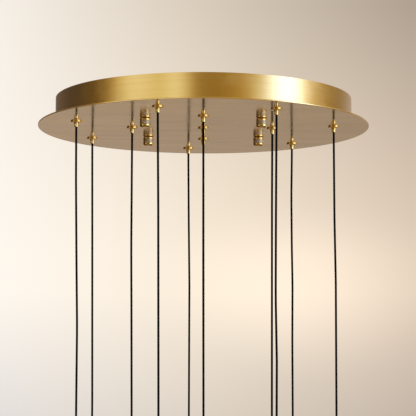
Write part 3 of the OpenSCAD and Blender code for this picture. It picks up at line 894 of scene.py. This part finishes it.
def skirtProfile():
    sizes = bulbSizes
    radius, top, foot, edge = sizes["skirtRadius"], sizes["shoulder"], sizes["skirtFoot"], sizes["skirtEdge"]
    lip = radius - sizes["lipIn"]
    return ([(0, top)] + roundArc(radius - edge, top - edge, edge, 90, 0, 4)
            + [(radius, foot + sizes["lipTop"]), (lip, foot + sizes["lipFoot"]), (lip, foot), (0, foot)])


def shellProfile():
    sizes = bulbSizes
    radius, shoulder = sizes["capRadius"], sizes["shoulder"]
    top, foot = shoulder + sizes["capHeight"], shoulder + sizes["seam"]
    thread = threadPoints(radius - sizes["threadRoot"], radius - sizes["threadCrest"],
                          top - sizes["capEdge"], shoulder + sizes["threadFoot"], sizes["threadPitch"])
    collar = radius - sizes["collarIn"]
    return ([(0, top), (radius - sizes["capEdge"], top)] + thread
            + [(collar, shoulder + sizes["collarTop"]), (collar, foot), (0, foot)])


def tipProfiles():
    # The ring of glass on top of the cap, and the contact in it
    sizes = bulbSizes
    capTop = sizes["shoulder"] + sizes["capHeight"]
    glassTop, glassFoot = capTop + sizes["glassHeight"], capTop + sizes["seam"]
    contactTop, contactFoot = glassTop + sizes["contactHeight"], glassTop + sizes["seam"]
    radius, edge = sizes["contactRadius"], sizes["contactEdge"]
    glass = [(0, glassTop), (radius + sizes["glassOut"], glassTop)]
    glass += [(sizes["capRadius"] - sizes["glassIn"], glassFoot), (0, glassFoot)]
    contact = [(0, contactTop)] + roundArc(radius - edge, contactTop - edge, edge, 90, 0, 4)
    return glass, contact + [(radius, contactFoot), (0, contactFoot)]


def makeLamps():
    sizes = bulbSizes
    rounded = (globeProfile(), skirtProfile())
    capped = (shellProfile(), *tipProfiles())
    bulbMaterials = [opalGlass, skirtPlastic, screwShell, blackGlass, polishedGold]
    for index in range(len(cordDrops)):
        label = f"{index + 1:02d}"
        x, y = gripPlaces[index]
        place = (x + cordEnds[index], y, cordSizes["outlet"] * 1000 - cordDrops[index])

        def buildHolder(shape):
            spinProfile(shape, holderProfile(), holderSizes["sides"], place)

        def buildBulb(shape):
            for slot, profile in enumerate(rounded + capped):
                sides = sizes["sides"] if slot < len(rounded) else sizes["capSides"]
                spinProfile(shape, profile, sides, place, slot)

        enrol(turnedPiece("lampHolder" + label, buildHolder, [lampBrass]),
              "lamp_" + label, "lamp_holder_" + label)
        enrol(turnedPiece("globeBulb" + label, buildBulb, bulbMaterials),
              "globe_" + label, "bulb_" + label)


makeGrips()
print("grips done")
makeCapNuts()
print("cap nuts done")
makeLamps()
print("lamps done")

nodeLooks = {
    "canopy_drum": drumBrass,
    "canopy_plate": plateMetal,
    "ceiling_bracket": platedSteel,
    "bracket_studs": platedSteel,
    "stop_nuts": platedSteel,
    "grip_lock_nuts": platedSteel,
    "lid_screws": platedSteel,
    "box_nuts": platedSteel,
    "cap_nut_washers": blackRubber,
    "junction_box": boxPlastic,
    "junction_lid": boxPlastic,
    "terminal_strips": terminalPlastic,
    "cord_tails": cordMaterial,
    "earth_screw": polishedGold,
    "earth_wire": earthSleeve,
}
for name, material in nodeLooks.items():
    for place in nodes[name].material_slots:
        place.material = material
print("frame dressed")


# Studio: a pale floor far below, soft lamps, and a world that the metal mirrors
studio = {
    "floorLevel": -4.4, "floorSize": 30.0, "floorTone": (0.72, 0.66, 0.58), "floorRoughness": 0.85,
    "floorGrain": 60.0, "floorBump": (0.05, 0.0005),
    "worldTone": (0.95, 0.9, 0.82), "worldStrength": 0.68,
    "lampAim": (0, 0, -0.1),
    "softLight": [
        {"name": "softLeft", "place": (-1.9, -1.9, 0.3), "size": 1.3, "power": 34, "tone": (1.0, 0.95, 0.88)},
        {"name": "softRight", "place": (2.2, -1.1, 0.1), "size": 0.9, "power": 40, "tone": (1.0, 0.96, 0.9)},
    ],
}


def makeFloor():
    half, z = studio["floorSize"] / 2, studio["floorLevel"]
    mesh = bpy.data.meshes.new("floor")
    corners = [(-half, -half, z), (half, -half, z), (half, half, z), (-half, half, z)]
    mesh.from_pydata(corners, [], [(0, 1, 2, 3)])
    floor = bpy.data.objects.new("floor", mesh)
    scene.collection.objects.link(floor)
    material, tree, shader = startMaterial("floorPaint")
    grain = groupNode(tree, fineGrain, Scale=studio["floorGrain"])
    shader.inputs["Base Color"].default_value = studio["floorTone"] + (1.0,)
    setInputs(shader, Roughness=studio["floorRoughness"])
    setBump(tree, shader, grain.outputs["Height"], *studio["floorBump"])
    mesh.materials.append(material)
    floor.visible_glossy = False


def makeLights():
    for light in studio["softLight"]:
        data = bpy.data.lights.new(light["name"], "AREA")
        data.size = light["size"]
        data.energy = light["power"]
        data.color = light["tone"]
        lamp = bpy.data.objects.new(light["name"], data)
        scene.collection.objects.link(lamp)
        lamp.location = light["place"]
        aim = Vector(studio["lampAim"]) - lamp.location
        lamp.rotation_euler = aim.to_track_quat("-Z", "Y").to_euler()
        lamp.visible_glossy = False


# What the metal mirrors, by compass direction from behind, past the left, the camera's side and the right.
# The first number is degrees from the camera's side, positive to the right.
mirrorRoom = [
    (-180, (0.50, 0.44, 0.40)),
    (-160, (0.16, 0.135, 0.12)),
    (-125, (0.092, 0.076, 0.08)),
    (-108, (0.092, 0.072, 0.062)),
    (-95, (0.135, 0.098, 0.055)),
    (-84, (0.18, 0.115, 0.03)),
    (-76, (0.33, 0.235, 0.07)),
    (-68, (0.80, 0.76, 0.52)),
    (-58, (1.0, 1.12, 1.2)),
    (-46, (0.97, 1.06, 1.1)),
    (-34, (0.82, 0.84, 0.62)),
    (-20, (1.05, 1.2, 1.35)),
    (-13, (0.80, 0.80, 0.62)),
    (-6, (0.38, 0.28, 0.11)),
    (0, (0.32, 0.235, 0.09)),
    (14, (0.335, 0.25, 0.08)),
    (28, (0.46, 0.35, 0.12)),
    (37, (0.62, 0.55, 0.30)),
    (44, (0.84, 0.92, 0.85)),
    (52, (1.0, 1.22, 1.95)),
    (84, (0.97, 1.04, 1.0)),
    (92, (0.72, 0.66, 0.46)),
    (104, (0.50, 0.42, 0.25)),
    (118, (0.35, 0.275, 0.15)),
    (131, (0.345, 0.295, 0.235)),
    (150, (0.47, 0.42, 0.39)),
    (180, (0.50, 0.44, 0.40)),
]
# The same below the horizon, which the plate, the nuts and the grips mirror
mirrorLowRoom = [
    (-180, (0.43, 0.38, 0.34)),
    (-150, (0.03, 0.02, 0.01)),
    (-90, (0.03, 0.02, 0.01)),
    (-68, (0.12, 0.09, 0.06)),
    (-54, (0.20, 0.15, 0.12)),
    (-28, (0.19, 0.13, 0.08)),
    (-5, (0.22, 0.17, 0.12)),
    (18, (0.38, 0.32, 0.2)),
    (30, (1.0, 1.1, 1.3)),
    (38, (2.0, 2.6, 4.5)),
    (70, (2.3, 3.3, 6.5)),
    (84, (1.3, 1.4, 1.6)),
    (102, (0.62, 0.56, 0.42)),
    (140, (0.48, 0.42, 0.36)),
    (180, (0.43, 0.38, 0.34)),
]
# The lamp that the drum's right half mirrors, in degrees past the camera's side
mirrorLamp = {"turn": (46, 64.5, 72, 88), "tone": (0.3, 0.45, 1.0), "strength": 4.4}
# A small window low on the left, which the nuts' rounded ends catch
mirrorWindow = {"turn": (-78, -64, -46, -34), "height": (-0.5, -0.42, -0.27, -0.19), "tone": (1.1, 1.1, 1.3)}
# The wall behind, which the plate mirrors, and the floor.
# A pair is where a change starts and stops: "behind" in degrees from the camera's side, the others in height.
mirrorBelow = {
    "horizon": (0.04, -0.07), "behind": (152, 168),
    "edgeHeight": (-0.35, -0.55), "floorHeight": (-0.65, -0.9),
    "halfWidth": 0.09, "leftTone": (0.44, 0.39, 0.36), "rightTone": (0.37, 0.33, 0.295),
    "edgeTone": (0.12, 0.08, 0.03), "floorTone": (0.22, 0.16, 0.10),
}
# The backdrop that the camera sees, in slopes: sideways is x / y and upwards is z / y
background = {
    "leastAhead": 0.2,                  # for y
    "halfWidth": 0.104,
    "highFrom": (0.104, 0.232),
    "lowFrom": (0.085, 0.02),
    "highDark": (0.08, 0.45, 0.2),      # at the left, what the way across adds, and what its square takes off
    "rightDark": 0.23,
    "lowDark": 0.22,
    "tints": [(0.0, (1.0, 0.94, 0.86)), (0.5, (1.0, 0.87, 0.71)), (1.0, (1.0, 0.82, 0.65))],
    "floorTint": (0.98, 1.0, 1.05),
    "glowPlace": (0.05, 0.087),
    "glowSize": (0.085, 0.05),
    "glowStrength": 0.16,
}


def stripeMask(tree, value, stops):
    # Up from the first stop to the second, down from the third to the fourth
    return times(tree, fade(tree, value, stops[0], stops[1]), fade(tree, value, stops[3], stops[2]))


def turnStripe(tree, turn, degrees):
    return stripeMask(tree, turn, [math.radians(angle) for angle in degrees])


def compassRamp(tree, compass, tones):
    return rampNode(tree, compass, [(0.5 + degrees / 360, tone) for degrees, tone in tones])


def makeBackdrop(tree, sideways, upwards):
    # Pale: brighter on the left, darker towards the right and the top
    across = rangeNode(tree, sideways, -background["halfWidth"], background["halfWidth"])
    acrossSquare = times(tree, across, across)
    high = rangeNode(tree, upwards, *background["highFrom"])
    low = rangeNode(tree, upwards, *background["lowFrom"])
    leftDark, moreDark, lessDark = background["highDark"]
    edge = plus(tree, times(tree, across, moreDark), leftDark)
    edge = minus(tree, edge, times(tree, acrossSquare, lessDark))
    level = minus(tree, 1.0, times(tree, acrossSquare, background["rightDark"]))
    level = minus(tree, level, times(tree, edge, high))
    level = minus(tree, level, times(tree, low, background["lowDark"]))
    squares = []
    for slope, place, size in zip((sideways, upwards), background["glowPlace"], background["glowSize"]):
        away = mathNode(tree, "DIVIDE", minus(tree, slope, place), size)
        squares.append(times(tree, away, away))
    away = mathNode(tree, "SQRT", plus(tree, *squares))
    level = plus(tree, level, rangeNode(tree, away, 1.0, 0.0, 0.0, background["glowStrength"], True))
    tint = rampNode(tree, across, background["tints"])
    tint = mixColour(tree, low, tint, mixColour(tree, 1.0, tint, background["floorTint"], "MULTIPLY"))
    return mixColour(tree, 1.0, tint, level, "MULTIPLY")


def makeMirrored(tree, x, y, z, sideways):
    below = mirrorBelow
    turn = mathNode(tree, "ARCTAN2", x, times(tree, y, -1.0))
    compass = rangeNode(tree, turn, -math.pi, math.pi)
    beam = times(tree, turnStripe(tree, turn, mirrorLamp["turn"]), mirrorLamp["strength"])
    lamp = mixColour(tree, 1.0, mirrorLamp["tone"], beam, "MULTIPLY")
    room = mixColour(tree, 1.0, compassRamp(tree, compass, mirrorRoom), lamp, "ADD")
    across = rangeNode(tree, sideways, -below["halfWidth"], below["halfWidth"])
    wall = mixColour(tree, across, below["leftTone"], below["rightTone"])
    behind = fade(tree, mathNode(tree, "ABSOLUTE", turn), *(math.radians(angle) for angle in below["behind"]))
    lowRoom = mixColour(tree, behind, compassRamp(tree, compass, mirrorLowRoom), wall)
    mirrored = mixColour(tree, fade(tree, z, *below["horizon"]), room, lowRoom)
    mirrored = mixColour(tree, fade(tree, z, *below["edgeHeight"]), mirrored, below["edgeTone"])
    mirrored = mixColour(tree, fade(tree, z, *below["floorHeight"]), mirrored, below["floorTone"])
    window = turnStripe(tree, turn, mirrorWindow["turn"])
    window = times(tree, window, stripeMask(tree, z, mirrorWindow["height"]))
    return mixColour(tree, window, mirrored, mirrorWindow["tone"])


def makeWorld():
    # Metal sees the mirrored room, the camera sees the backdrop, and the rest of the light is soft and even
    world = bpy.data.worlds.new("studioWorld")
    scene.world = world
    world.use_nodes = True
    tree = world.node_tree
    tree.nodes.clear()
    x, y, z = splitPlace(tree, "Generated")
    ahead = mathNode(tree, "MAXIMUM", mathNode(tree, "ABSOLUTE", y), background["leastAhead"])
    sideways = mathNode(tree, "DIVIDE", x, ahead)
    upwards = mathNode(tree, "DIVIDE", z, ahead)

    def lightOf(colour):
        node = addNode(tree, "ShaderNodeBackground")
        join(tree, colour, node.inputs["Color"])
        return node

    def mixLight(share, first, second):
        node = addNode(tree, "ShaderNodeMixShader")
        join(tree, share, node.inputs[0])
        join(tree, first.outputs[0], node.inputs[1])
        join(tree, second.outputs[0], node.inputs[2])
        return node

    soft = addNode(tree, "ShaderNodeBackground")
    setInputs(soft, Color=studio["worldTone"] + (1.0,), Strength=studio["worldStrength"])
    mirror = lightOf(makeMirrored(tree, x, y, z, sideways))
    backdrop = lightOf(makeBackdrop(tree, sideways, upwards))
    path = addNode(tree, "ShaderNodeLightPath")
    seen = mathNode(tree, "ADD", path.outputs["Is Camera Ray"], path.outputs["Is Transmission Ray"], True)
    light = mixLight(seen, mixLight(path.outputs["Is Glossy Ray"], soft, mirror), backdrop)
    output = addNode(tree, "ShaderNodeOutputWorld")
    join(tree, light.outputs[0], output.inputs["Surface"])


makeFloor()
makeLights()
makeWorld()
scene.view_settings.view_transform = "Standard"
print("studio done")
